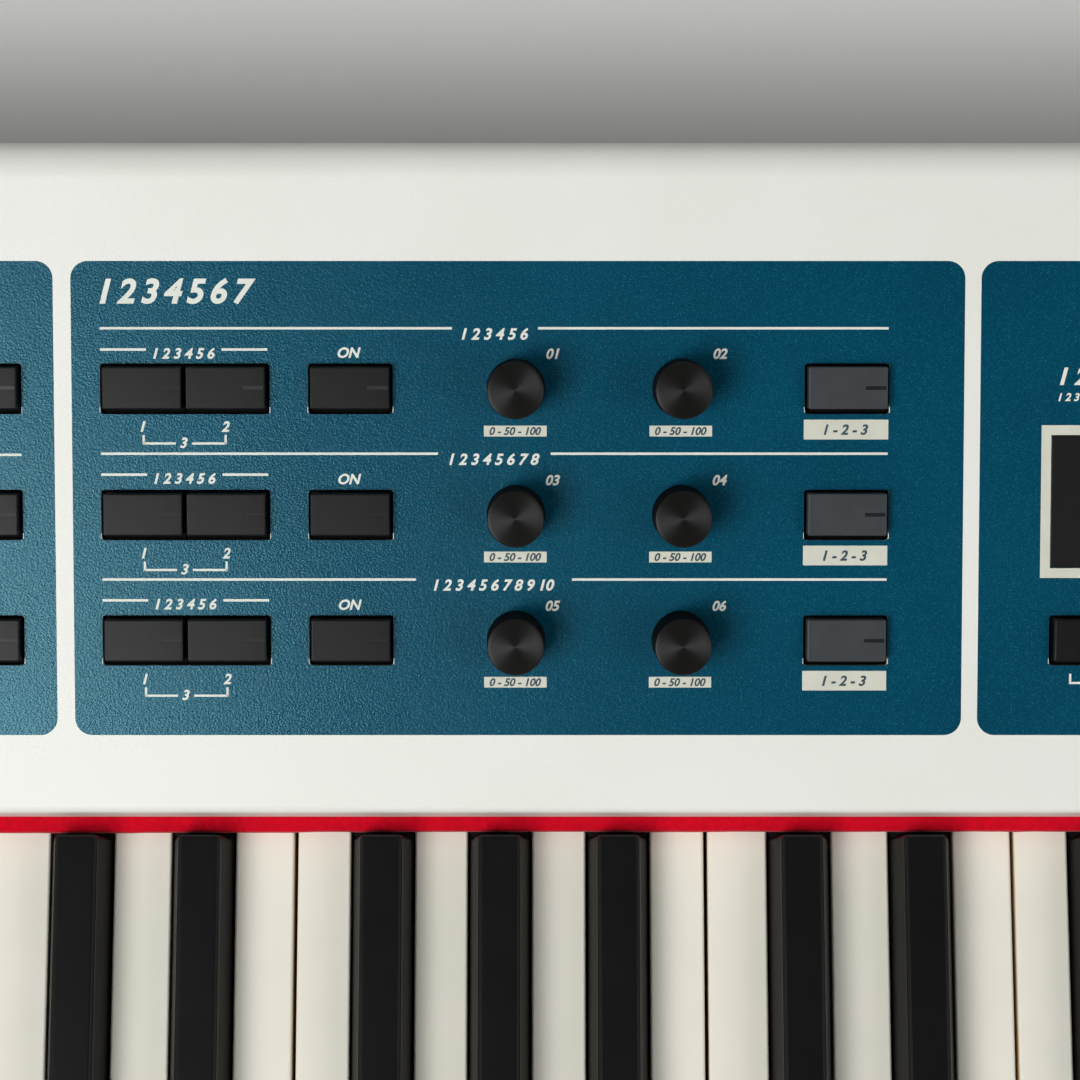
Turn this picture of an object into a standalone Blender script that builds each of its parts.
"""Stage piano with 88 keys and a sloped steel control panel.

Run it with blender --background --python part.py, or from Blender's text editor.
Units are metres and +Z is up. The player sits on the -Y side and X runs along the keys.
The origin is on the table, under the middle of the case.
"""
import math

import bmesh
import bpy
from mathutils import Matrix, Vector

MM = 0.001

# Driving dimensions of the keys
WHITE_PITCH = 23.5 * MM
WHITE_GAP = 1.0 * MM
WHITE_LENGTH = 150.0 * MM
BLACK_LENGTH = 95.0 * MM
BLACK_BASE_WIDTH = 13.7 * MM
BLACK_TOP_WIDTH = 9.9 * MM
BLACK_RISE = 12.0 * MM
BLACK_FRONT_RAKE = 5.0 * MM
BLACK_EDGE = 0.9 * MM
BLACK_SIDE_GAP = 0.65 * MM
KEY_HEIGHT = 20.0 * MM
KEY_WALL = 2.0 * MM
KEY_EDGE = 0.5 * MM
KEY_DIP = 10.0 * MM
KEY_REACH = 225.0 * MM
KEY_TAIL = 7.0 * MM

# Driving dimensions of the key bed
FULCRUM_RADIUS = 3.0 * MM
FULCRUM_WEB = 4.0 * MM
BED_SHEET = 2.0 * MM
BED_FLANGE = 14.0 * MM
STOP_PAD = 3.0 * MM
STOP_WIDTH = 10.0 * MM
GUIDE_LENGTH = 8.0 * MM
GUIDE_HEIGHT = 7.0 * MM
BLACK_GUIDE_WIDTH = 7.9 * MM

# Driving dimensions of the case
CHEEK_WIDTH = 38.0 * MM
CHEEK_ABOVE_KEYS = 6.0 * MM
CHEEK_ABOVE_PANEL = 2.0 * MM
CHEEK_EDGE = 2.0 * MM
KEY_END_GAP = 1.0 * MM
FOOT_HEIGHT = 10.0 * MM
FOOT_RADIUS = 18.0 * MM
FOOT_INSET_X = 90.0 * MM
FOOT_INSET_Y = 42.0 * MM
KEYS_ABOVE_CASE = 72.0 * MM
SLIP_DEPTH = 20.0 * MM
SLIP_GAP = 3.0 * MM
SLIP_SHEET = 2.0 * MM
SLIP_BELOW_KEYS = 3.0 * MM
SLIP_BEND = 3.0 * MM
CASE_SHEET = 1.5 * MM
CASE_WALL_HEIGHT = 30.0 * MM

# Driving dimensions of the control panel
PANEL_SLOPE = math.radians(15.3)
PANEL_LENGTH = 153.7 * MM
PANEL_SHEET = 1.5 * MM
LIP_RISE = 13.2 * MM
LIP_BEND = 2.5 * MM
REAR_BEND = 8.0 * MM
FELT_PROUD = 2.8 * MM
FELT_DEPTH = 4.2 * MM
FELT_HEIGHT = 3.3 * MM
SOCKET_PROUD = 2.0 * MM

# Driving dimensions of the controls, in the panel's own plane
SECTION_X = -113.9 * MM
SECTION_WIDTH = 200.0 * MM
SECTION_GAP = 4.0 * MM
COLUMN_PITCH = 37.1 * MM
ROW_PITCH = 28.35 * MM
OUTER_STEPS = 2.2
VOLUME_STEPS = 3.6
FIRST_ROW = 39.7 * MM
WINDOW_WIDTH = 19.0 * MM
WINDOW_HEIGHT = 11.8 * MM
LEFT_COLUMN_INSET = 16.3 * MM
END_COLUMN_INSET = 58.25 * MM
CAP_WIDTH = 17.6 * MM
CAP_HEIGHT = 9.8 * MM
CAP_PROUD = 3.5 * MM
CAP_CHAMFER = 0.4 * MM
CAP_FLANGE = 1.2 * MM
CAP_STEM = 5.0 * MM
BUTTON_TRAVEL = 0.8 * MM
KNOB_RADIUS = 6.6 * MM
KNOB_HEIGHT = 14.5 * MM
KNOB_LIFT = 0.5 * MM
VOLUME_RADIUS = 10.0 * MM
SHAFT_RADIUS = 3.0 * MM
BUSH_RADIUS = 4.5 * MM
BOARD_DEPTH = 16.0 * MM
BOARD_SHEET = 1.6 * MM
STANDOFF_RADIUS = 3.0 * MM
SWITCH_WIDTH = 6.0 * MM
SWITCH_HEIGHT = 5.0 * MM
ENCODER_WIDTH = 12.0 * MM
ENCODER_HEIGHT = 6.5 * MM
DISPLAY_INSET = 16.1 * MM
DISPLAY_WIDTH = 80.0 * MM
DISPLAY_HEIGHT = 30.0 * MM
DISPLAY_ROW = 71.0 * MM
DISPLAY_RIM = 5.0 * MM
DISPLAY_DEPTH = 8.0 * MM
WINDOW_LENS = 1.2 * MM

# Driving dimensions of the rear sockets and the inner boards
SOCKET_ROW_HEIGHT = 42.0 * MM
JACK_BORE = 3.3 * MM
JACK_RADIUS = 5.6 * MM
JACK_DEPTH = 14.0 * MM
JACK_FLOOR = 1.0 * MM
JACK_PITCH = 26.0 * MM
JACK_INSET = 272.0 * MM
JACK_STEPS = (0, 1, 2.5, 3.5, 5, 6)
DIN_STEPS = (7.5, 8.5)
USB_STEP = 9.5
DIN_RADIUS = 8.0 * MM
USB_WIDTH = 12.0 * MM
USB_CAVITY = 8.6 * MM
USB_TONGUE = 3.2 * MM
INLET_INSET = 92.0 * MM
INLET_WIDTH = 28.0 * MM
INLET_HEIGHT = 20.0 * MM
INLET_WALL = 1.8 * MM
INLET_DEPTH = 20.0 * MM
INLET_PIN = 4.0 * MM
INLET_PINS = ((-7.0 * MM, -2.0 * MM), (7.0 * MM, -2.0 * MM), (0, 2.0 * MM))
ROCKER_WIDTH = 13.0 * MM
ROCKER_HEIGHT = 20.0 * MM
ROCKER_ANGLE = math.radians(14.0)
INNER_BOARD_GAP = 13.0 * MM
INNER_BOARD_LIFT = 8.0 * MM
MAIN_BOARD_X = 160.0 * MM
MAIN_BOARD_WIDTH = 200.0 * MM
POWER_BOARD_X = 390.0 * MM
POWER_BOARD_WIDTH = 120.0 * MM

# What stands on the inner boards: shares of the board's width and depth for the middle of the
# part, then for its size, and its height
MAIN_BOARD_PARTS = ((0.15, 0.5, 0.13, 0.56, 3 * MM), (0.40, 0.5, 0.10, 0.44, 3 * MM),
                    (0.62, 0.6, 0.08, 0.26, 3 * MM), (0.80, 0.3, 0.15, 0.18, 9 * MM),
                    (0.90, 0.7, 0.07, 0.30, 6 * MM))
POWER_BOARD_PARTS = ((0.20, 0.5, 0.18, 0.56, 24 * MM), (0.50, 0.5, 0.25, 0.60, 26 * MM),
                     (0.80, 0.35, 0.15, 0.26, 30 * MM), (0.80, 0.75, 0.10, 0.26, 22 * MM))

# Clearances and facets
TOUCH_GAP = 0.3 * MM
SHAFT_GAP = 0.3 * MM
OVERLAP = 0.5 * MM
ROUND_SIDES = 12
POST_SIDES = 8
KNOB_SIDES = 16
BEND_STEPS = 3

# Which white keys have a black key on their right, and how far its middle is from the joint
BLACK_SHIFT = {"c": -2.1 * MM, "d": 2.3 * MM, "f": -3.5 * MM, "g": -0.2 * MM, "a": 3.3 * MM}
WHITE_NAMES = "abcdefg"
WHITE_COUNT = 52
FREE_WHITES = range(19, 26)

# Sizes that follow
KEYBOARD_WIDTH = WHITE_COUNT * WHITE_PITCH
INNER_WIDTH = KEYBOARD_WIDTH + 2 * KEY_END_GAP
JACK_X = JACK_INSET - INNER_WIDTH / 2
INLET_X = INNER_WIDTH / 2 - INLET_INSET
PANEL_RUN = PANEL_LENGTH * math.cos(PANEL_SLOPE)
CASE_DEPTH = SLIP_DEPTH + SLIP_GAP + WHITE_LENGTH + FELT_PROUD + PANEL_RUN + SOCKET_PROUD
FRONT_Y = -CASE_DEPTH / 2
KEY_FRONT_Y = FRONT_Y + SLIP_DEPTH + SLIP_GAP
FELT_Y = KEY_FRONT_Y + WHITE_LENGTH
LIP_Y = FELT_Y + FELT_PROUD
REAR_Y = LIP_Y + PANEL_RUN
CASE_BOTTOM = FOOT_HEIGHT
CASE_FLOOR = CASE_BOTTOM + CASE_SHEET
KEY_TOP = CASE_BOTTOM + KEYS_ABOVE_CASE
KEY_BOTTOM = KEY_TOP - KEY_HEIGHT
LIP_TOP = KEY_TOP + LIP_RISE
FULCRUM_Y = KEY_FRONT_Y + KEY_REACH
KEY_END_Y = FULCRUM_Y + KEY_TAIL
KEY_ANGLE = math.asin(KEY_DIP / KEY_REACH)
BED_TOP = KEY_BOTTOM - KEY_DIP - STOP_PAD
BLACK_FRONT_Y = FELT_Y - BLACK_LENGTH
BLACK_REAR_Y = FELT_Y - 2 * TOUCH_GAP
BLACK_SLOT = BLACK_BASE_WIDTH + 2 * BLACK_SIDE_GAP
SHOULDER_Y = BLACK_FRONT_Y - 2 * BLACK_SIDE_GAP
ROWS = {"bottom": FIRST_ROW, "middle": FIRST_ROW + ROW_PITCH, "top": FIRST_ROW + 2 * ROW_PITCH}
SECTION_LEFT = SECTION_X - SECTION_WIDTH / 2
SECTION_RIGHT = SECTION_X + SECTION_WIDTH / 2
PAIR_OFFSET = WINDOW_WIDTH / 2
PANEL_UNDER = -PANEL_SHEET - TOUCH_GAP
FLANGE_BOTTOM = PANEL_UNDER - CAP_FLANGE
SWITCH_TOP = -BOARD_DEPTH + SWITCH_HEIGHT
STEM_BOTTOM = SWITCH_TOP + BUTTON_TRAVEL + TOUCH_GAP
ENCODER_TOP = -BOARD_DEPTH + ENCODER_HEIGHT
SOCKET_Z = CASE_BOTTOM + SOCKET_ROW_HEIGHT
DISPLAY_X = SECTION_RIGHT + DISPLAY_INSET + DISPLAY_WIDTH / 2 + SECTION_GAP


def scene_collections():
    """Empty the scene and return a collection for the parts and one for the cutters."""
    for old in list(bpy.data.objects):
        bpy.data.objects.remove(old, do_unlink=True)
    found = []
    for name in ("stage_piano", "cutters"):
        collection = bpy.data.collections.new(name)
        bpy.context.scene.collection.children.link(collection)
        found.append(collection)
    return found


PARTS, CUTTERS = scene_collections()


def finish(name, colour, roughness, metallic=0.0):
    """A Principled material of one colour, given as red, green and blue from 0 to 1."""
    material = bpy.data.materials.new(name)
    material.use_nodes = True
    shader = material.node_tree.nodes["Principled BSDF"]
    shader.inputs["Base Color"].default_value = (*colour, 1.0)
    shader.inputs["Roughness"].default_value = roughness
    shader.inputs["Metallic"].default_value = metallic
    material.diffuse_color = (*colour, 1.0)
    return material


def white_paint(name):
    return finish(name, (0.80, 0.81, 0.76), 0.45)


def white_plastic(name):
    return finish(name, (0.68, 0.66, 0.57), 0.25)


def black_plastic(name):
    return finish(name, (0.012, 0.012, 0.013), 0.4)


def board_green(name):
    return finish(name, (0.02, 0.12, 0.06), 0.5)


def place(name, bm, materials, parent=None, location=(0, 0, 0), collection=PARTS):
    """Turn a bmesh into a named object with its origin where the mesh's zero is."""
    mesh = bpy.data.meshes.new(name)
    bm.to_mesh(mesh)
    bm.free()
    thing = bpy.data.objects.new(name, mesh)
    collection.objects.link(thing)
    thing.parent = parent
    thing.location = location
    for material in materials if isinstance(materials, (list, tuple)) else [materials]:
        mesh.materials.append(material)
    return thing


def paint(bm, slot):
    """Give the faces that have no slot yet one of the object's other materials."""
    for face in bm.faces:
        if face.material_index == 0:
            face.material_index = slot


def hide_cutter(thing):
    thing.display_type = "WIRE"
    thing.hide_render = True


def combine(thing, bm, operation):
    """Join or cut a thing with the solids of a bmesh, drawn in the thing's own space."""
    name = f"{thing.name}_{operation.lower()}_{len(thing.modifiers)}"
    bmesh.ops.recalc_face_normals(bm, faces=bm.faces)
    cutter = place(name, bm, list(thing.data.materials), thing.parent, thing.location, CUTTERS)
    hide_cutter(cutter)
    share_cutter(thing, cutter, operation)
    return cutter


def share_cutter(thing, cutter, operation):
    boolean = thing.modifiers.new(operation.lower(), "BOOLEAN")
    boolean.operation = operation
    boolean.solver = "EXACT"
    boolean.object = cutter


def solidify(thing, thickness, offset=-1.0):
    shell = thing.modifiers.new("wall", "SOLIDIFY")
    shell.thickness = thickness
    shell.offset = offset
    shell.use_even_offset = True


def soften(thing, width, segments=2, angle=40.0):
    bevel = thing.modifiers.new("soft_edges", "BEVEL")
    bevel.width = width
    bevel.segments = segments
    bevel.limit_method = "ANGLE"
    bevel.angle_limit = math.radians(angle)
    thing.data.shade_smooth()
    thing.data.set_sharp_from_angle(angle=math.radians(angle))


def rounded_path(corners):
    """Points of a path whose corners (a, b, radius) are rounded by arcs; the ends stay sharp."""
    points = []
    for index, (a, b, radius) in enumerate(corners):
        corner = Vector((a, b))
        if radius == 0:
            points.append(corner)
            continue
        before = (Vector(corners[index - 1][:2]) - corner).normalized()
        after = (Vector(corners[(index + 1) % len(corners)][:2]) - corner).normalized()
        half = before.angle(after) / 2
        middle = corner + (before + after).normalized() * radius / math.sin(half)
        start = corner + before * radius / math.tan(half) - middle
        end = corner + after * radius / math.tan(half) - middle
        for step in range(BEND_STEPS + 1):
            share = step / BEND_STEPS
            arm = start.slerp(end, share) if start.angle(end) > 0 else start
            points.append(middle + arm.normalized() * radius)
    return points


def swept_path(corners, left, right, closed):
    """A bmesh of a path in the YZ plane, swept along X: a sheet, or a solid when closed."""
    bm = bmesh.new()
    verts = [bm.verts.new((left, y, z)) for y, z in rounded_path(corners)]
    if closed:
        geometry = [bm.faces.new(verts)]
    else:
        geometry = [bm.edges.new(pair) for pair in zip(verts, verts[1:])]
    if closed:
        grown = bmesh.ops.extrude_face_region(bm, geom=geometry)["geom"]
    else:
        grown = bmesh.ops.extrude_edge_only(bm, edges=geometry)["geom"]
    moved = [item for item in grown if isinstance(item, bmesh.types.BMVert)]
    bmesh.ops.translate(bm, verts=moved, vec=(right - left, 0, 0))
    bmesh.ops.recalc_face_normals(bm, faces=bm.faces)
    return bm


def add_box(bm, low, high):
    """Add a box between two corners and return its vertices."""
    low, high = Vector(low), Vector(high)
    verts = bmesh.ops.create_cube(bm, size=1.0)["verts"]
    bmesh.ops.scale(bm, verts=verts, vec=high - low)
    bmesh.ops.translate(bm, verts=verts, vec=(low + high) / 2)
    return verts


def add_tower(bm, x, y, levels):
    """Add a stack of rectangles (width, depth, height above zero), each drawn up from the last."""
    width, depth, bottom = levels[0]
    verts = bmesh.ops.create_grid(bm, x_segments=1, y_segments=1, size=0.5)["verts"]
    bmesh.ops.scale(bm, verts=verts, vec=(width, depth, 1))
    bmesh.ops.translate(bm, verts=verts, vec=(x, y, bottom))
    top = verts[0].link_faces[0]
    bmesh.ops.duplicate(bm, geom=[top])
    for new_width, new_depth, height in levels[1:]:
        top = bmesh.ops.extrude_discrete_faces(bm, faces=[top])["faces"][0]
        share = (new_width / width, new_depth / depth, 1)
        bmesh.ops.scale(bm, verts=top.verts, vec=share, space=Matrix.Translation((-x, -y, 0)))
        rise = height - top.verts[0].co.z
        bmesh.ops.translate(bm, verts=top.verts, vec=(0, 0, rise))
        width, depth = new_width, new_depth
    base = [vert for vert in bm.verts if abs(vert.co.z - bottom) < OVERLAP / 100]
    bmesh.ops.remove_doubles(bm, verts=base, dist=OVERLAP / 100)


def add_cylinder(bm, radius, x, y, bottom, top, sides=ROUND_SIDES):
    """Add an upright cylinder whose flats, not corners, are no nearer than the radius."""
    outer = radius / math.cos(math.pi / sides)
    turned = Matrix.Translation((x, y, (bottom + top) / 2))
    bmesh.ops.create_cone(bm, cap_ends=True, segments=sides, radius1=outer, radius2=outer,
                          depth=top - bottom, matrix=turned)


def turned(name, profile, material, parent, location, sides=KNOB_SIDES):
    """A piece turned from a profile (radius, height) that runs down its outer side."""
    bm = bmesh.new()
    verts = [bm.verts.new((radius, 0, height)) for radius, height in profile]
    for pair in zip(verts, verts[1:]):
        bm.edges.new(pair)
    thing = place(name, bm, material, parent, location)
    screw = thing.modifiers.new("turn", "SCREW")
    screw.steps = sides
    screw.render_steps = sides
    screw.use_merge_vertices = True
    screw.merge_threshold = 0.00005
    screw.use_smooth_shade = True
    return thing


def panel_frame():
    """The empty that holds the panel: X along the keys, Y up the slope, Z out of the panel."""
    frame = bpy.data.objects.new("panel_frame", None)
    PARTS.objects.link(frame)
    frame.location = (0, LIP_Y, LIP_TOP)
    frame.rotation_euler = (PANEL_SLOPE, 0, 0)
    return frame


def panel_height(y):
    """Height of the panel's outer plane above the table at a depth y."""
    return LIP_TOP + (y - LIP_Y) * math.tan(PANEL_SLOPE)


def left_columns():
    """Middles of the left section's columns, the one next to the middle section last."""
    last = SECTION_LEFT - SECTION_GAP - LEFT_COLUMN_INSET
    return [last - step * COLUMN_PITCH for step in (4, 3, 2, 1, 0)]


def middle_columns():
    return [SECTION_X + step * COLUMN_PITCH for step in (-2, -1, 0, 1, 2)]


def display_button_x():
    """Middle of the first button under the display, whose window starts at the screen's edge."""
    return DISPLAY_X - DISPLAY_WIDTH / 2 + PAIR_OFFSET


def right_columns(section):
    """Middles of four columns in the first or the second section on the right."""
    first = SECTION_RIGHT + SECTION_GAP + section * (SECTION_WIDTH + SECTION_GAP)
    return [first + SECTION_WIDTH / 2 + step * COLUMN_PITCH for step in (-1.5, -0.5, 0.5, 1.5)]


def end_columns():
    """Middles of the four columns next to the right end, which keep their inset from it."""
    last = INNER_WIDTH / 2 - END_COLUMN_INSET
    return [last - step * COLUMN_PITCH for step in (3, 2, 1, 0)]


def volume_place():
    return left_columns()[0] - VOLUME_STEPS * COLUMN_PITCH, ROWS["top"]


def control_layout():
    """Where every control of the panel is: windows, caps and knobs, each with its section."""
    windows, caps, knobs = [], [], []

    def single(section, x, row, moves=None):
        windows.append((x, ROWS[row], WINDOW_WIDTH))
        caps.append((section, x, ROWS[row], moves))

    def pair(section, x, row, first=None, second=None):
        windows.append((x, ROWS[row], 2 * WINDOW_WIDTH))
        caps.append((section, x - PAIR_OFFSET, ROWS[row], first))
        caps.append((section, x + PAIR_OFFSET, ROWS[row], second))

    left, middle = left_columns(), middle_columns()
    for row in ROWS:
        pair("middle", middle[0], row, f"select_a_{row}", f"select_b_{row}")
        single("middle", middle[1], row, f"on_button_{row}")
        single("middle", middle[4], row, f"grey_button_{row}")
        single("left", left[4], row, f"left_button_{row}")
        single("left", left[3], row)
        pair("left", left[0], row)
        single("left", left[0] - OUTER_STEPS * COLUMN_PITCH, row)
        for x in right_columns(1):
            single("right", x, row)
        outer = end_columns()
        single("right", outer[0], row)
        for column, x in (("1", middle[2]), ("2", middle[3])):
            knobs.append(("middle", x, ROWS[row], f"knob_{column}_{row}"))
        for section, x in (("left", left[1]), ("left", left[2]), ("right", outer[2])):
            knobs.append((section, x, ROWS[row], None))
        single("right", right_columns(0)[3], row)
    first = display_button_x()
    pair("right", first + PAIR_OFFSET, "bottom", "right_button_bottom", None)
    pair("right", first + PAIR_OFFSET + COLUMN_PITCH + PAIR_OFFSET / 4, "bottom")
    knobs.append(("right", right_columns(0)[2] + PAIR_OFFSET / 2, ROWS["middle"], None))
    return windows, caps, knobs


WINDOWS, CAPS, KNOBS = control_layout()


def white_joints():
    """X of the left edge of each white key's pitch, with the key's letter and octave."""
    found = []
    for index in range(WHITE_COUNT):
        letter = WHITE_NAMES[index % 7]
        octave = (index + 5) // 7
        found.append((-KEYBOARD_WIDTH / 2 + index * WHITE_PITCH, letter, octave))
    return found


WHITES = white_joints()


def black_middle(index):
    """X of the middle of the black key right of a white key, or None where there is none."""
    if index < 0 or index >= WHITE_COUNT - 1:
        return None
    left, letter, _ = WHITES[index]
    if letter not in BLACK_SHIFT:
        return None
    return left + WHITE_PITCH + BLACK_SHIFT[letter]


def white_outline(index):
    """Corners of a white key seen from above, going round from its front left corner."""
    left = WHITES[index][0] + WHITE_GAP / 2
    right = left + WHITE_PITCH - WHITE_GAP
    on_left, on_right = black_middle(index - 1), black_middle(index)
    corners = [(left, KEY_FRONT_Y), (right, KEY_FRONT_Y)]
    tail_left, tail_right = left, right
    if on_right is not None:
        tail_right = on_right - BLACK_SLOT / 2
        corners += [(right, SHOULDER_Y), (tail_right, SHOULDER_Y)]
    if on_left is not None:
        tail_left = on_left + BLACK_SLOT / 2
    corners += [(tail_right, KEY_END_Y), (tail_left, KEY_END_Y)]
    if on_left is not None:
        corners += [(tail_left, SHOULDER_Y), (left, SHOULDER_Y)]
    return corners


def add_white_key(bm, index, origin, closed):
    """Add a white key: a solid, or when not closed a moulded skin that is open underneath."""
    top = KEY_TOP - origin.z
    verts = [bm.verts.new((x - origin.x, y - origin.y, top)) for x, y in white_outline(index)]
    face = bm.faces.new(verts)
    rim = list(face.edges)
    if closed:
        grown = bmesh.ops.extrude_face_region(bm, geom=[face], use_keep_orig=True)["geom"]
    else:
        grown = bmesh.ops.extrude_edge_only(bm, edges=rim)["geom"]
    moved = [item for item in grown if isinstance(item, bmesh.types.BMVert)]
    bmesh.ops.translate(bm, verts=moved, vec=(0, 0, -KEY_HEIGHT))
    if not closed:
        bmesh.ops.bevel(bm, geom=rim, offset=KEY_EDGE, segments=1, affect="EDGES", profile=0.5,
                        material=-1)


def add_black_key(bm, middle, origin):
    """Add a black key: a low body under the panel and a raised cap with raked sides."""
    half = BLACK_BASE_WIDTH / 2
    low = Vector((middle - half, BLACK_FRONT_Y, KEY_BOTTOM)) - origin
    high = Vector((middle + half, KEY_END_Y, KEY_TOP - OVERLAP)) - origin
    verts = add_box(bm, low, high)
    edges = list({edge for vert in verts for edge in vert.link_edges})
    faces = list({face for vert in verts for face in vert.link_faces})
    cap_end = BLACK_REAR_Y - origin.y
    bmesh.ops.bisect_plane(bm, geom=verts + edges + faces, plane_co=(0, cap_end, 0),
                           plane_no=(0, 1, 0))
    x = middle - origin.x
    front = next(face for face in bm.faces
                 if face.normal.z > 0.9 and face.calc_center_median().y < cap_end
                 and abs(face.calc_center_median().x - x) < half / 2
                 and abs(face.calc_center_median().z - high.z) < OVERLAP / 10)
    cap = bmesh.ops.extrude_discrete_faces(bm, faces=[front])["faces"][0]
    bmesh.ops.translate(bm, verts=cap.verts, vec=(0, 0, BLACK_RISE + OVERLAP))
    narrow = BLACK_TOP_WIDTH / BLACK_BASE_WIDTH
    bmesh.ops.scale(bm, verts=cap.verts, vec=(narrow, 1, 1), space=Matrix.Translation((-x, 0, 0)))
    for vert in cap.verts:
        at_front = vert.co.y < cap_end - BLACK_LENGTH / 2
        vert.co.y += BLACK_FRONT_RAKE if at_front else -BLACK_EDGE
    bmesh.ops.bevel(bm, geom=list(cap.edges), offset=BLACK_EDGE, segments=1, affect="EDGES",
                    profile=0.5, material=-1)


def fulcrum_cutter():
    """The round bar that cuts each key's seat, a running gap larger than the fulcrum ridge."""
    bm = bmesh.new()
    add_cylinder(bm, FULCRUM_RADIUS + TOUCH_GAP, 0, 0, -INNER_WIDTH / 2, INNER_WIDTH / 2)
    cutter = place("fulcrum_seat", bm, [], None, (0, FULCRUM_Y, KEY_BOTTOM), CUTTERS)
    cutter.rotation_euler = (0, math.pi / 2, 0)
    hide_cutter(cutter)
    return cutter


def key_origin(x):
    """A key's origin is on its fulcrum, under the middle of the key."""
    return Vector((x, FULCRUM_Y, KEY_BOTTOM))


def build_free_keys(seat):
    """The octave whose keys are separate: hollow white keys and black keys with a guide slot."""
    for index in FREE_WHITES:
        left, letter, octave = WHITES[index]
        origin = key_origin(left + WHITE_PITCH / 2)
        bm = bmesh.new()
        add_white_key(bm, index, origin, closed=False)
        bmesh.ops.recalc_face_normals(bm, faces=bm.faces)
        name = f"key_{letter}{octave}"
        key = place(name, bm, white_plastic(name), None, origin)
        solidify(key, KEY_WALL)
        share_cutter(key, seat, "DIFFERENCE")
        middle = black_middle(index)
        if middle is None or index == FREE_WHITES[-1]:
            continue
        origin = key_origin(middle)
        bm = bmesh.new()
        add_black_key(bm, middle, origin)
        name = f"key_{letter}_sharp{octave}"
        key = place(name, bm, black_plastic(name), None, origin)
        share_cutter(key, seat, "DIFFERENCE")
        slot = bmesh.new()
        half = BLACK_GUIDE_WIDTH / 2 + TOUCH_GAP
        front, back = black_guide_span()
        low = Vector((middle - half, front - GUIDE_LENGTH, KEY_BOTTOM - OVERLAP)) - origin
        high = Vector((middle + half, back + GUIDE_LENGTH, KEY_TOP + BLACK_RISE / 3)) - origin
        add_box(slot, low, high)
        combine(key, slot, "DIFFERENCE")


def white_guide_span():
    """Front and back of the guides that stand inside the heads of the white keys."""
    middle = (KEY_FRONT_Y + SHOULDER_Y) / 2
    return middle - GUIDE_LENGTH / 2, middle + GUIDE_LENGTH / 2


def black_guide_span():
    front = BLACK_FRONT_Y + 3 * GUIDE_LENGTH
    return front, front + GUIDE_LENGTH


def key_bottom_when_down(y):
    """Height of a pressed key's lower edge at a depth y."""
    return KEY_BOTTOM - (FULCRUM_Y - y) * math.sin(KEY_ANGLE)


def bed_section(name, left, right):
    """One section of the folded steel key bed, which stands on the case floor."""
    front = KEY_FRONT_Y + STOP_WIDTH / 2
    back = KEY_END_Y + BED_SHEET
    foot = CASE_FLOOR + TOUCH_GAP
    corners = [(front + BED_FLANGE, foot, 0), (front, foot, 0), (front, BED_TOP, BED_SHEET * 1.5),
               (back, BED_TOP, BED_SHEET * 1.5), (back, foot, 0), (back - BED_FLANGE, foot, 0)]
    tray = INNER_WIDTH / 2 - CASE_SHEET - 2 * TOUCH_GAP
    left = max(left + TOUCH_GAP / 2, -tray)
    right = min(right - TOUCH_GAP / 2, tray)
    bm = swept_path(corners, left, right, closed=False)
    steel = finish(name, (0.42, 0.43, 0.44), 0.45, 0.9)
    bed = place(name, bm, [steel, white_plastic(f"{name}_whites"), black_plastic(f"{name}_blacks")])
    solidify(bed, BED_SHEET)
    return bed


def add_rail(bm, left, right, top):
    """Add the upright web that carries the fulcrum ridge, standing in the bed's shelf."""
    half = FULCRUM_WEB / 2
    low = (left + TOUCH_GAP, FULCRUM_Y - half, BED_TOP - BED_SHEET / 2)
    add_box(bm, low, (right - TOUCH_GAP, FULCRUM_Y + half, top))


def build_free_bed():
    """The bed under the free octave, with its ridge, its guides and its two stop rails."""
    left = WHITES[FREE_WHITES[0]][0]
    right = WHITES[FREE_WHITES[-1]][0] + WHITE_PITCH
    bed = bed_section("key_bed_middle", left, right)
    rail = bmesh.new()
    add_rail(rail, left, right, KEY_BOTTOM)
    for index in FREE_WHITES:
        x = WHITES[index][0] + WHITE_PITCH / 2
        half = (WHITE_PITCH - WHITE_GAP) / 2 - KEY_WALL - TOUCH_GAP
        front, back = white_guide_span()
        add_box(rail, (x - half, front, BED_TOP - BED_SHEET / 2),
                (x + half, back, KEY_BOTTOM + GUIDE_HEIGHT))
        middle = black_middle(index)
        if middle is not None and index != FREE_WHITES[-1]:
            front, back = black_guide_span()
            half = BLACK_GUIDE_WIDTH / 2
            add_box(rail, (middle - half, front, BED_TOP - BED_SHEET / 2),
                    (middle + half, back, KEY_BOTTOM + GUIDE_HEIGHT))
    combine(bed, rail, "UNION")
    stops = bmesh.new()
    for y in (KEY_FRONT_Y + 1.5 * STOP_WIDTH, SHOULDER_Y + STOP_WIDTH):
        add_box(stops, (left + TOUCH_GAP, y, BED_TOP - BED_SHEET / 2),
                (right - TOUCH_GAP, y + STOP_WIDTH, key_bottom_when_down(y) - TOUCH_GAP))
    combine(bed, stops, "UNION")
    ridge = bmesh.new()
    length = right - left - 2 * TOUCH_GAP
    bmesh.ops.create_cone(ridge, cap_ends=True, segments=ROUND_SIDES, radius1=FULCRUM_RADIUS,
                          radius2=FULCRUM_RADIUS, depth=length,
                          matrix=Matrix.Rotation(math.pi / 2, 4, "Y"))
    bmesh.ops.translate(ridge, verts=ridge.verts,
                        vec=((left + right) / 2, FULCRUM_Y, KEY_BOTTOM))
    combine(bed, ridge, "UNION")


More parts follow.
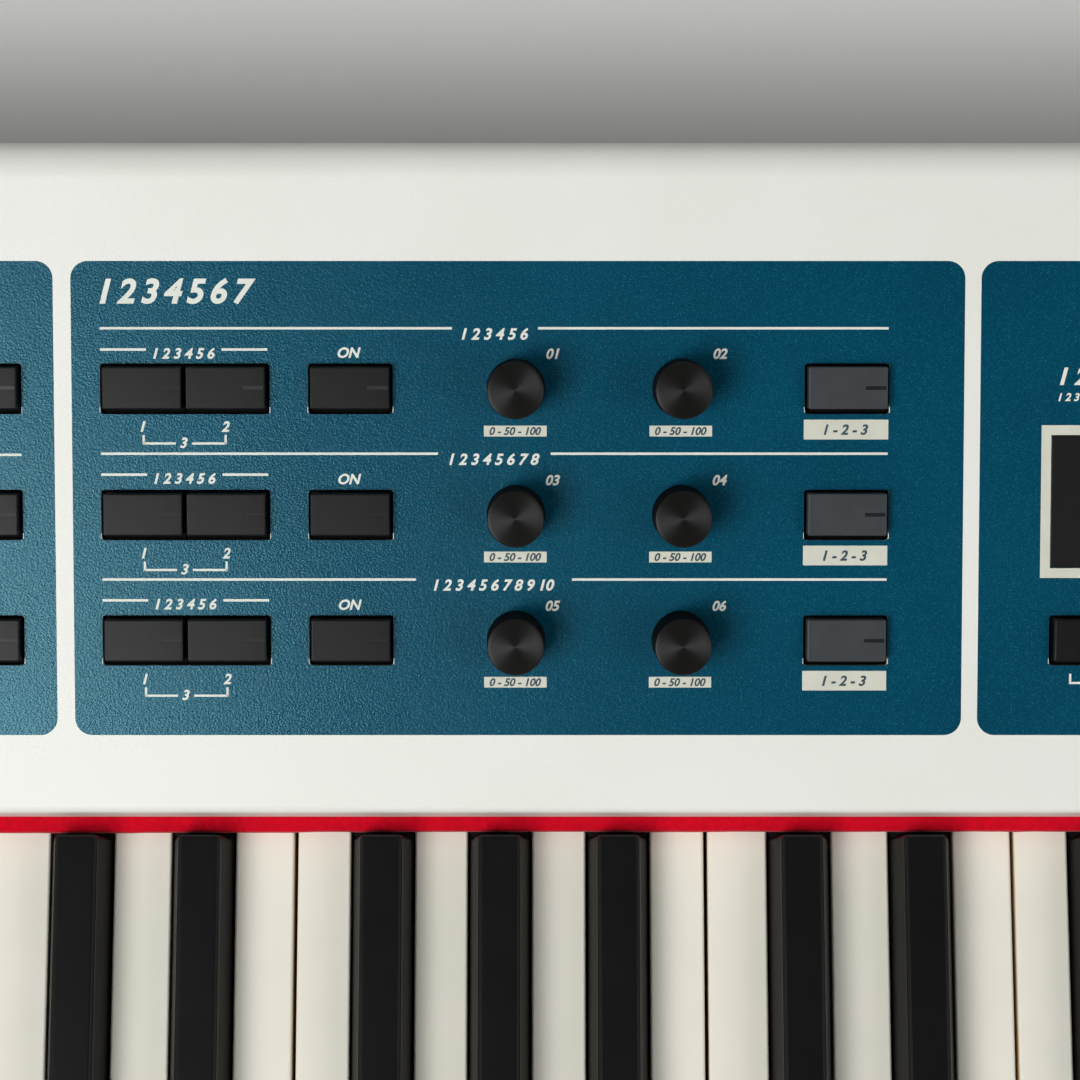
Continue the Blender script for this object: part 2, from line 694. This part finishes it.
def build_fixed_bed(name, whites):
    """A bed section whose keys are joined to the web that carries them."""
    left = WHITES[whites[0]][0]
    right = WHITES[whites[-1]][0] + WHITE_PITCH
    bed = bed_section(name, left, right)
    rail = bmesh.new()
    add_rail(rail, left, right, KEY_BOTTOM + OVERLAP)
    combine(bed, rail, "UNION")
    keys = bmesh.new()
    nowhere = Vector((0, 0, 0))
    for index in whites:
        add_white_key(keys, index, nowhere, closed=True)
    bmesh.ops.recalc_face_normals(keys, faces=keys.faces)
    paint(keys, 1)
    for index in whites:
        middle = black_middle(index)
        if middle is not None and index != whites[-1]:
            add_black_key(keys, middle, nowhere)
    paint(keys, 2)
    combine(bed, keys, "UNION")


def build_case():
    """The steel tray, the front slip, the two cheeks, the feet and the folded top panel."""
    half = INNER_WIDTH / 2 - TOUCH_GAP
    front = FRONT_Y + SLIP_SHEET + TOUCH_GAP
    back = REAR_Y - PANEL_SHEET - TOUCH_GAP
    bm = bmesh.new()
    add_box(bm, (-half, front, CASE_BOTTOM), (half, back, CASE_BOTTOM + CASE_WALL_HEIGHT))
    lid = next(face for face in bm.faces if face.normal.z > 0.9)
    bmesh.ops.delete(bm, geom=[lid], context="FACES_ONLY")
    tray = place("bottom_case", bm, finish("bottom_case", (0.03, 0.03, 0.032), 0.5, 0.6))
    solidify(tray, CASE_SHEET)

    slip_top = KEY_TOP - SLIP_BELOW_KEYS
    slip_back = FRONT_Y + SLIP_DEPTH
    corners = [(slip_back, KEY_BOTTOM, 0), (slip_back, slip_top, SLIP_BEND),
               (FRONT_Y, slip_top, SLIP_BEND), (FRONT_Y, CASE_BOTTOM, 0)]
    bm = swept_path(corners, -half, half, closed=False)
    slip = place("key_slip", bm, white_paint("key_slip"))
    solidify(slip, SLIP_SHEET)

    build_cheeks()
    x = INNER_WIDTH / 2 + CHEEK_WIDTH - FOOT_INSET_X
    for side, sign_x in (("left", -1), ("right", 1)):
        for end, y in (("front", FRONT_Y + FOOT_INSET_Y), ("rear", REAR_Y - FOOT_INSET_Y)):
            name = f"foot_{side}_{end}"
            profile = [(0, FOOT_HEIGHT - TOUCH_GAP), (FOOT_RADIUS, FOOT_HEIGHT - TOUCH_GAP),
                       (FOOT_RADIUS - CHEEK_EDGE, 0), (0, 0)]
            turned(name, profile, finish(name, (0.02, 0.02, 0.02), 0.8), None,
                   (sign_x * x, y, 0))


def build_cheeks():
    """The two end blocks: low beside the keys, then rising to the panel's slope."""
    rail = KEY_TOP + CHEEK_ABOVE_KEYS
    rise = FELT_Y - CHEEK_WIDTH / 2
    crest = LIP_Y + CHEEK_WIDTH / 4
    corners = [(FRONT_Y, CASE_BOTTOM, 0), (FRONT_Y, rail, 4 * CHEEK_EDGE),
               (rise, rail, 4 * CHEEK_EDGE),
               (crest, panel_height(crest) + CHEEK_ABOVE_PANEL, 4 * CHEEK_EDGE),
               (REAR_Y, panel_height(REAR_Y) + CHEEK_ABOVE_PANEL, 4 * CHEEK_EDGE),
               (REAR_Y, CASE_BOTTOM, 0)]
    inner, outer = INNER_WIDTH / 2, INNER_WIDTH / 2 + CHEEK_WIDTH
    for name, left, right in (("left_cheek", -outer, -inner), ("right_cheek", inner, outer)):
        bm = swept_path(corners, left, right, closed=True)
        soften(place(name, bm, white_paint(name)), CHEEK_EDGE, 1, 60.0)


def build_panel(frame):
    """The top panel: one folded sheet with a lip over the felt, windows and a rear wall."""
    half = INNER_WIDTH / 2 - TOUCH_GAP
    lip = KEY_TOP + TOUCH_GAP + FELT_HEIGHT + TOUCH_GAP
    corners = [(LIP_Y, lip, 0), (LIP_Y, LIP_TOP, LIP_BEND),
               (REAR_Y, panel_height(REAR_Y), REAR_BEND), (REAR_Y, CASE_BOTTOM, 0)]
    bm = swept_path(corners, -half, half, closed=False)
    panel = place("top_panel", bm, white_paint("top_panel"))
    solidify(panel, PANEL_SHEET)
    cuts = bmesh.new()
    reach = 2 * PANEL_SHEET
    for x, slope, width in WINDOWS:
        add_box(cuts, (x - width / 2, slope - WINDOW_HEIGHT / 2, -reach),
                (x + width / 2, slope + WINDOW_HEIGHT / 2, reach))
    add_box(cuts, (DISPLAY_X - DISPLAY_WIDTH / 2, DISPLAY_ROW - DISPLAY_HEIGHT / 2, -reach),
            (DISPLAY_X + DISPLAY_WIDTH / 2, DISPLAY_ROW + DISPLAY_HEIGHT / 2, reach))
    for x, slope in [(x, slope) for _, x, slope, _ in KNOBS] + [volume_place()]:
        add_cylinder(cuts, SHAFT_RADIUS + SHAFT_GAP, x, slope, -reach, reach, POST_SIDES)
    cutter = place("panel_windows", cuts, [], frame, (0, 0, 0), CUTTERS)
    hide_cutter(cutter)
    share_cutter(panel, cutter, "DIFFERENCE")
    combine(panel, rear_cuts(), "DIFFERENCE")

    bm = bmesh.new()
    add_box(bm, (-half, FELT_Y, KEY_TOP + TOUCH_GAP),
            (half, FELT_Y + FELT_DEPTH, KEY_TOP + TOUCH_GAP + FELT_HEIGHT))
    place("key_felt", bm, finish("key_felt", (0.50, 0.003, 0.017), 0.95))


def rear_cuts():
    """Holes of the rear wall, each a clearance larger than the socket that fills it."""
    bm = bmesh.new()
    reach = 2 * PANEL_SHEET
    for x in jack_places():
        add_rear_cylinder(bm, JACK_RADIUS + TOUCH_GAP, x, -reach, reach)
    for x in din_places():
        add_rear_cylinder(bm, DIN_RADIUS + TOUCH_GAP, x, -reach, reach)
    for x, width, height in ((usb_place(), USB_WIDTH, USB_WIDTH),
                             (INLET_X, INLET_WIDTH, INLET_HEIGHT),
                             (rocker_place(), ROCKER_WIDTH, ROCKER_HEIGHT)):
        half_x, half_z = width / 2 + TOUCH_GAP, height / 2 + TOUCH_GAP
        add_box(bm, (x - half_x, REAR_Y - reach, SOCKET_Z - half_z),
                (x + half_x, REAR_Y + reach, SOCKET_Z + half_z))
    return bm


def jack_places():
    """Middles of the six jack sockets, in three pairs."""
    return [JACK_X + step * JACK_PITCH for step in JACK_STEPS]


def din_places():
    return [JACK_X + step * JACK_PITCH for step in DIN_STEPS]


def usb_place():
    return JACK_X + USB_STEP * JACK_PITCH


def rocker_place():
    return INLET_X - INLET_WIDTH / 2 - ROCKER_WIDTH


def add_rear_cylinder(bm, radius, x, start, end, sides=ROUND_SIDES):
    """Add a cylinder along Y, from start to end measured from the rear wall's outer face."""
    outer = radius / math.cos(math.pi / sides)
    matrix = Matrix.Translation((x, REAR_Y + (start + end) / 2, SOCKET_Z))
    matrix = matrix @ Matrix.Rotation(math.pi / 2, 4, "X")
    bmesh.ops.create_cone(bm, cap_ends=True, segments=sides, radius1=outer, radius2=outer,
                          depth=end - start, matrix=matrix)


def build_sockets():
    """The jack board, a board on edge whose sockets reach out through the rear wall."""
    inside = -PANEL_SHEET - TOUCH_GAP
    back = REAR_Y + inside - JACK_DEPTH
    left, right = JACK_X - JACK_PITCH, usb_place() + JACK_PITCH
    bm = bmesh.new()
    foot = CASE_FLOOR + TOUCH_GAP
    add_box(bm, (left, back - BOARD_SHEET, foot), (right, back, SOCKET_Z + JACK_PITCH / 2))
    board = place("jack_board", bm, board_green("jack_board"))
    bodies = bmesh.new()
    for x in jack_places():
        half = JACK_PITCH / 3
        add_box(bodies, (x - half, back - BOARD_SHEET / 2, SOCKET_Z - half),
                (x + half, REAR_Y + inside, SOCKET_Z + half))
    for x in din_places():
        half = JACK_PITCH / 2.6
        add_box(bodies, (x - half, back - BOARD_SHEET / 2, SOCKET_Z - half),
                (x + half, REAR_Y + inside, SOCKET_Z + half))
    half = USB_WIDTH / 2
    add_box(bodies, (usb_place() - half, back - BOARD_SHEET / 2, SOCKET_Z - half),
            (usb_place() + half, REAR_Y + SOCKET_PROUD / 2, SOCKET_Z + half))
    combine(board, bodies, "UNION")
    noses = bmesh.new()
    for x in jack_places():
        bottom = inside - JACK_DEPTH / 2
        add_rear_cylinder(noses, JACK_RADIUS * math.cos(math.pi / ROUND_SIDES), x, bottom,
                          SOCKET_PROUD)
    for x in din_places():
        add_rear_cylinder(noses, DIN_RADIUS * math.cos(math.pi / ROUND_SIDES), x,
                          inside - JACK_DEPTH / 2, 0)
    combine(board, noses, "UNION")
    bores = bmesh.new()
    for x in jack_places():
        add_rear_cylinder(bores, JACK_BORE, x, inside - JACK_DEPTH + JACK_FLOOR, 2 * SOCKET_PROUD)
    half = USB_CAVITY / 2
    mouth = REAR_Y + 2 * SOCKET_PROUD
    floor = REAR_Y + inside - JACK_DEPTH / 1.5
    for low_z, high_z in ((USB_TONGUE / 2, half), (-half, -USB_TONGUE / 2)):
        add_box(bores, (usb_place() - half, floor, SOCKET_Z + low_z),
                (usb_place() + half, mouth, SOCKET_Z + high_z))
    combine(board, bores, "DIFFERENCE")


def build_power():
    """The mains inlet with its three pins, the rocker switch and the power supply."""
    inside = REAR_Y - PANEL_SHEET - TOUCH_GAP
    half_x, half_z = INLET_WIDTH / 2, INLET_HEIGHT / 2
    deep = inside - INLET_DEPTH
    switch_half = ROCKER_WIDTH / 2 + TOUCH_GAP
    bm = bmesh.new()
    add_box(bm, (INLET_X - half_x, deep, SOCKET_Z - half_z),
            (INLET_X + half_x, REAR_Y + SOCKET_PROUD, SOCKET_Z + half_z))
    inlet = place("power_inlet", bm, black_plastic("power_inlet"))
    frame = bmesh.new()
    left = rocker_place() - switch_half - INLET_WALL
    add_box(frame, (left, deep + INLET_WALL, SOCKET_Z - half_z - INLET_WALL),
            (INLET_X + half_x + INLET_WALL, inside, SOCKET_Z + half_z + INLET_WALL))
    combine(inlet, frame, "UNION")
    hollow = bmesh.new()
    wall = INLET_WALL
    add_box(hollow, (INLET_X - half_x + wall, deep + 2 * wall, SOCKET_Z - half_z + wall),
            (INLET_X + half_x - wall, REAR_Y + 2 * SOCKET_PROUD, SOCKET_Z + half_z - wall))
    pocket = ROCKER_HEIGHT / 2 + TOUCH_GAP
    add_box(hollow, (rocker_place() - switch_half, inside - ROCKER_WIDTH, SOCKET_Z - pocket),
            (rocker_place() + switch_half, REAR_Y + 2 * SOCKET_PROUD, SOCKET_Z + pocket))
    combine(inlet, hollow, "DIFFERENCE")
    pins = bmesh.new()
    pin_end = REAR_Y - 1.5 * INLET_PIN
    for x, z in INLET_PINS:
        add_box(pins, (INLET_X + x - INLET_PIN / 4, deep + wall, SOCKET_Z + z - INLET_PIN / 2),
                (INLET_X + x + INLET_PIN / 4, pin_end, SOCKET_Z + z + INLET_PIN / 2))
    combine(inlet, pins, "UNION")
    build_rocker(inside)


def build_rocker(inside):
    """The rocker switch: it turns on a pivot inside the wall, and rests with its top pressed in."""
    pivot = inside - ROCKER_WIDTH / 3
    crown = REAR_Y + SOCKET_PROUD / 2 - pivot
    half = ROCKER_HEIGHT / 2 - 2 * TOUCH_GAP - crown * math.sin(ROCKER_ANGLE / 2)
    tip = crown - half * math.tan(ROCKER_ANGLE / 2)
    heel = ROCKER_WIDTH / 6
    corners = [(-heel, -half / 3), (0, -half), (tip, -half), (crown, 0), (tip, half), (0, half),
               (-heel, half / 3)]
    bm = bmesh.new()
    width = ROCKER_WIDTH / 2 - TOUCH_GAP
    verts = [bm.verts.new((-width, y, z)) for y, z in corners]
    grown = bmesh.ops.extrude_face_region(bm, geom=[bm.faces.new(verts)], use_keep_orig=True)
    moved = [item for item in grown["geom"] if isinstance(item, bmesh.types.BMVert)]
    bmesh.ops.translate(bm, verts=moved, vec=(2 * width, 0, 0))
    bmesh.ops.rotate(bm, verts=bm.verts, matrix=Matrix.Rotation(ROCKER_ANGLE / 2, 3, "X"))
    bmesh.ops.recalc_face_normals(bm, faces=bm.faces)
    place("power_switch", bm, black_plastic("power_switch"), None,
          (rocker_place(), pivot, SOCKET_Z))


def build_inner_boards():
    """The main board and the power supply, on standoffs between the key bed and the rear wall."""
    back = REAR_Y - PANEL_SHEET - 2 * CASE_SHEET - JACK_DEPTH / 4
    front = KEY_END_Y + BED_SHEET + INNER_BOARD_GAP
    lift = CASE_FLOOR + INNER_BOARD_LIFT
    boards = (("main_board", MAIN_BOARD_X, MAIN_BOARD_WIDTH, MAIN_BOARD_PARTS),
              ("power_supply", POWER_BOARD_X, POWER_BOARD_WIDTH, POWER_BOARD_PARTS))
    for name, middle, board_width, parts in boards:
        left, right = middle - board_width / 2, middle + board_width / 2
        bm = bmesh.new()
        add_box(bm, (left, front, lift), (right, back, lift + BOARD_SHEET))
        board = place(name, bm, board_green(name))
        extras = bmesh.new()
        for along, across, wide, deep, height in parts:
            x, y = left + along * board_width, front + across * (back - front)
            width, depth = wide * board_width, deep * (back - front)
            add_box(extras, (x - width / 2, y - depth / 2, lift + BOARD_SHEET / 2),
                    (x + width / 2, y + depth / 2, lift + BOARD_SHEET + height))
        inset = 2 * STANDOFF_RADIUS
        for x in (left + inset, right - inset):
            for y in (front + inset, back - inset):
                add_cylinder(extras, STANDOFF_RADIUS, x, y, CASE_FLOOR + TOUCH_GAP,
                             lift + BOARD_SHEET / 2, POST_SIDES)
        combine(board, extras, "UNION")


def add_switch(bm, x, slope):
    """Add the push switch under one button."""
    levels = [(SWITCH_WIDTH, SWITCH_WIDTH, -BOARD_DEPTH - BOARD_SHEET / 2),
              (SWITCH_WIDTH, SWITCH_WIDTH, SWITCH_TOP - BUTTON_TRAVEL),
              (SWITCH_WIDTH / 2, SWITCH_WIDTH / 2, SWITCH_TOP - BUTTON_TRAVEL),
              (SWITCH_WIDTH / 2, SWITCH_WIDTH / 2, SWITCH_TOP)]
    add_tower(bm, x, slope, levels)


def add_fixed_cap(bm, x, slope):
    """Add a cap that is joined to its board, as tall as the free ones."""
    inner_width, inner_height = CAP_WIDTH - 2 * CAP_CHAMFER, CAP_HEIGHT - 2 * CAP_CHAMFER
    levels = [(CAP_WIDTH, CAP_HEIGHT, -BOARD_DEPTH - BOARD_SHEET / 2),
              (CAP_WIDTH, CAP_HEIGHT, CAP_PROUD - CAP_CHAMFER),
              (inner_width, inner_height, CAP_PROUD)]
    add_tower(bm, x, slope, levels)


def control_board(frame, section, name, left, right, standoffs):
    """A board under the panel, parallel to it, with its switches, encoders and standoffs."""
    bm = bmesh.new()
    low = FIRST_ROW - WINDOW_HEIGHT
    high = ROWS["top"] + WINDOW_HEIGHT
    add_box(bm, (left, low, -BOARD_DEPTH - BOARD_SHEET), (right, high, -BOARD_DEPTH))
    board = place(name, bm, [board_green(name), black_plastic(f"{name}_controls")], frame)
    upper = bmesh.new()
    for owner, x, slope, moves in CAPS:
        if owner == section:
            (add_switch if moves else add_fixed_cap)(upper, x, slope)
    paint(upper, 1)
    knobs = list(KNOBS)
    if section == "left":
        knobs.append(("left", *volume_place(), "volume_knob"))
    knobs = [knob for knob in knobs if knob[0] == section]
    free = [(x, slope) for _, x, slope, moves in knobs if moves]
    for x, slope in free:
        half = ENCODER_WIDTH / 2
        add_box(upper, (x - half, slope - half, -BOARD_DEPTH - BOARD_SHEET / 2),
                (x + half, slope + half, ENCODER_TOP))
    for x in standoffs:
        for slope in (low + 2 * STANDOFF_RADIUS, high - 2 * STANDOFF_RADIUS):
            add_cylinder(upper, STANDOFF_RADIUS, x, slope, -BOARD_DEPTH - BOARD_SHEET / 2,
                         PANEL_UNDER, POST_SIDES)
    combine(board, upper, "UNION")
    fixed = [(x, slope) for _, x, slope, moves in knobs if not moves]
    if fixed:
        shafts = bmesh.new()
        heads = bmesh.new()
        for x, slope in fixed:
            add_cylinder(shafts, SHAFT_RADIUS * math.cos(math.pi / POST_SIDES), x, slope,
                         -BOARD_DEPTH - BOARD_SHEET / 2, KNOB_LIFT + KNOB_HEIGHT / 2, POST_SIDES)
            add_cylinder(heads, KNOB_RADIUS, x, slope, KNOB_LIFT, KNOB_LIFT + KNOB_HEIGHT)
        paint(heads, 1)
        combine(board, shafts, "UNION")
        combine(board, heads, "UNION")
    if free:
        bushes, bores = bmesh.new(), bmesh.new()
        for x, slope in free:
            add_cylinder(bushes, BUSH_RADIUS, x, slope, ENCODER_TOP - OVERLAP, PANEL_UNDER)
            add_cylinder(bores, SHAFT_RADIUS + SHAFT_GAP, x, slope, ENCODER_TOP, 0)
        combine(board, bushes, "UNION")
        combine(board, bores, "DIFFERENCE")
    return board


def build_boards(frame):
    """The three control boards, which hang from the panel by their standoffs."""
    left, right = left_columns(), end_columns()
    edge = COLUMN_PITCH / 2
    outer = volume_place()[0]
    gap = SECTION_GAP / 2
    control_board(frame, "left", "left_control_board", outer - edge, SECTION_LEFT - gap,
                  (outer + edge, left[0] - COLUMN_PITCH, left[3] + edge))
    middle = middle_columns()
    control_board(frame, "middle", "middle_control_board", SECTION_LEFT + gap,
                  SECTION_RIGHT - gap,
                  (middle[1] + edge, middle[3] + edge))
    start = right_columns(0)
    control_board(frame, "right", "right_control_board", SECTION_RIGHT + gap,
                  right[3] + edge, (start[3] - edge, right_columns(1)[0] - edge,
                                    right_columns(1)[3] + edge, right[2] + edge))


def build_display(frame):
    """The display module, held under the panel, and the smoked window in its opening."""
    half_x = DISPLAY_WIDTH / 2 + DISPLAY_RIM
    half_y = DISPLAY_HEIGHT / 2 + DISPLAY_RIM
    bm = bmesh.new()
    add_box(bm, (-half_x, -half_y, PANEL_UNDER - DISPLAY_DEPTH), (half_x, half_y, PANEL_UNDER))
    module = place("display_module", bm, finish("display_module", (0.02, 0.02, 0.022), 0.5),
                   frame, (DISPLAY_X, DISPLAY_ROW, 0))
    posts = bmesh.new()
    for x in (-half_x + DISPLAY_RIM, half_x - DISPLAY_RIM):
        for y in (-half_y + DISPLAY_RIM, half_y - DISPLAY_RIM):
            add_cylinder(posts, STANDOFF_RADIUS, x, y, -BOARD_DEPTH + TOUCH_GAP,
                         PANEL_UNDER - DISPLAY_DEPTH / 2, POST_SIDES)
    combine(module, posts, "UNION")
    bm = bmesh.new()
    half_x = DISPLAY_WIDTH / 2 - TOUCH_GAP
    half_y = DISPLAY_HEIGHT / 2 - TOUCH_GAP
    add_box(bm, (-half_x, -half_y, -PANEL_SHEET), (half_x, half_y, -PANEL_SHEET + WINDOW_LENS))
    place("display_window", bm, finish("display_window", (0.012, 0.012, 0.012), 0.15),
          frame, (DISPLAY_X, DISPLAY_ROW, 0))


def build_buttons(frame):
    """The photographed buttons: a cap through its window, a flange under it and a stem."""
    flange = (CAP_WIDTH + 2 * TOUCH_GAP, WINDOW_HEIGHT + 2 * CAP_FLANGE)
    inner = (CAP_WIDTH - 2 * CAP_CHAMFER, CAP_HEIGHT - 2 * CAP_CHAMFER)
    levels = [(CAP_STEM, CAP_STEM, STEM_BOTTOM), (CAP_STEM, CAP_STEM, FLANGE_BOTTOM),
              (*flange, FLANGE_BOTTOM), (*flange, PANEL_UNDER),
              (CAP_WIDTH, CAP_HEIGHT, PANEL_UNDER),
              (CAP_WIDTH, CAP_HEIGHT, CAP_PROUD - CAP_CHAMFER), (*inner, CAP_PROUD)]
    for _, x, slope, name in CAPS:
        if not name:
            continue
        bm = bmesh.new()
        add_tower(bm, 0, 0, levels)
        bmesh.ops.recalc_face_normals(bm, faces=bm.faces)
        grey = name.startswith("grey")
        material = finish(name, (0.05, 0.054, 0.06), 0.4) if grey else black_plastic(name)
        place(name, bm, material, frame, (x, slope, 0))


def build_knobs(frame):
    """The encoder knobs and the volume knob, each with the shaft that turns in its bush."""
    places = [(x, slope, name, KNOB_RADIUS) for _, x, slope, name in KNOBS if name]
    places.append((*volume_place(), "volume_knob", VOLUME_RADIUS))
    top = KNOB_LIFT + KNOB_HEIGHT
    for x, slope, name, radius in places:
        profile = [(0, top), (radius - 1.5 * CAP_CHAMFER, top), (radius, top - 1.5 * CAP_CHAMFER),
                   (radius, KNOB_LIFT), (SHAFT_RADIUS, KNOB_LIFT),
                   (SHAFT_RADIUS, ENCODER_TOP + TOUCH_GAP), (0, ENCODER_TOP + TOUCH_GAP)]
        turned(name, profile, black_plastic(name), frame, (x, slope, 0))


def build():
    frame = panel_frame()
    build_case()
    build_panel(frame)
    seat = fulcrum_cutter()
    build_free_bed()
    build_free_keys(seat)
    build_fixed_bed("key_bed_low", range(0, FREE_WHITES[0]))
    build_fixed_bed("key_bed_high", range(FREE_WHITES[-1] + 1, WHITE_COUNT))
    build_boards(frame)
    build_display(frame)
    build_buttons(frame)
    build_knobs(frame)
    build_sockets()
    build_power()
    build_inner_boards()
    bpy.context.view_layer.update()


build()
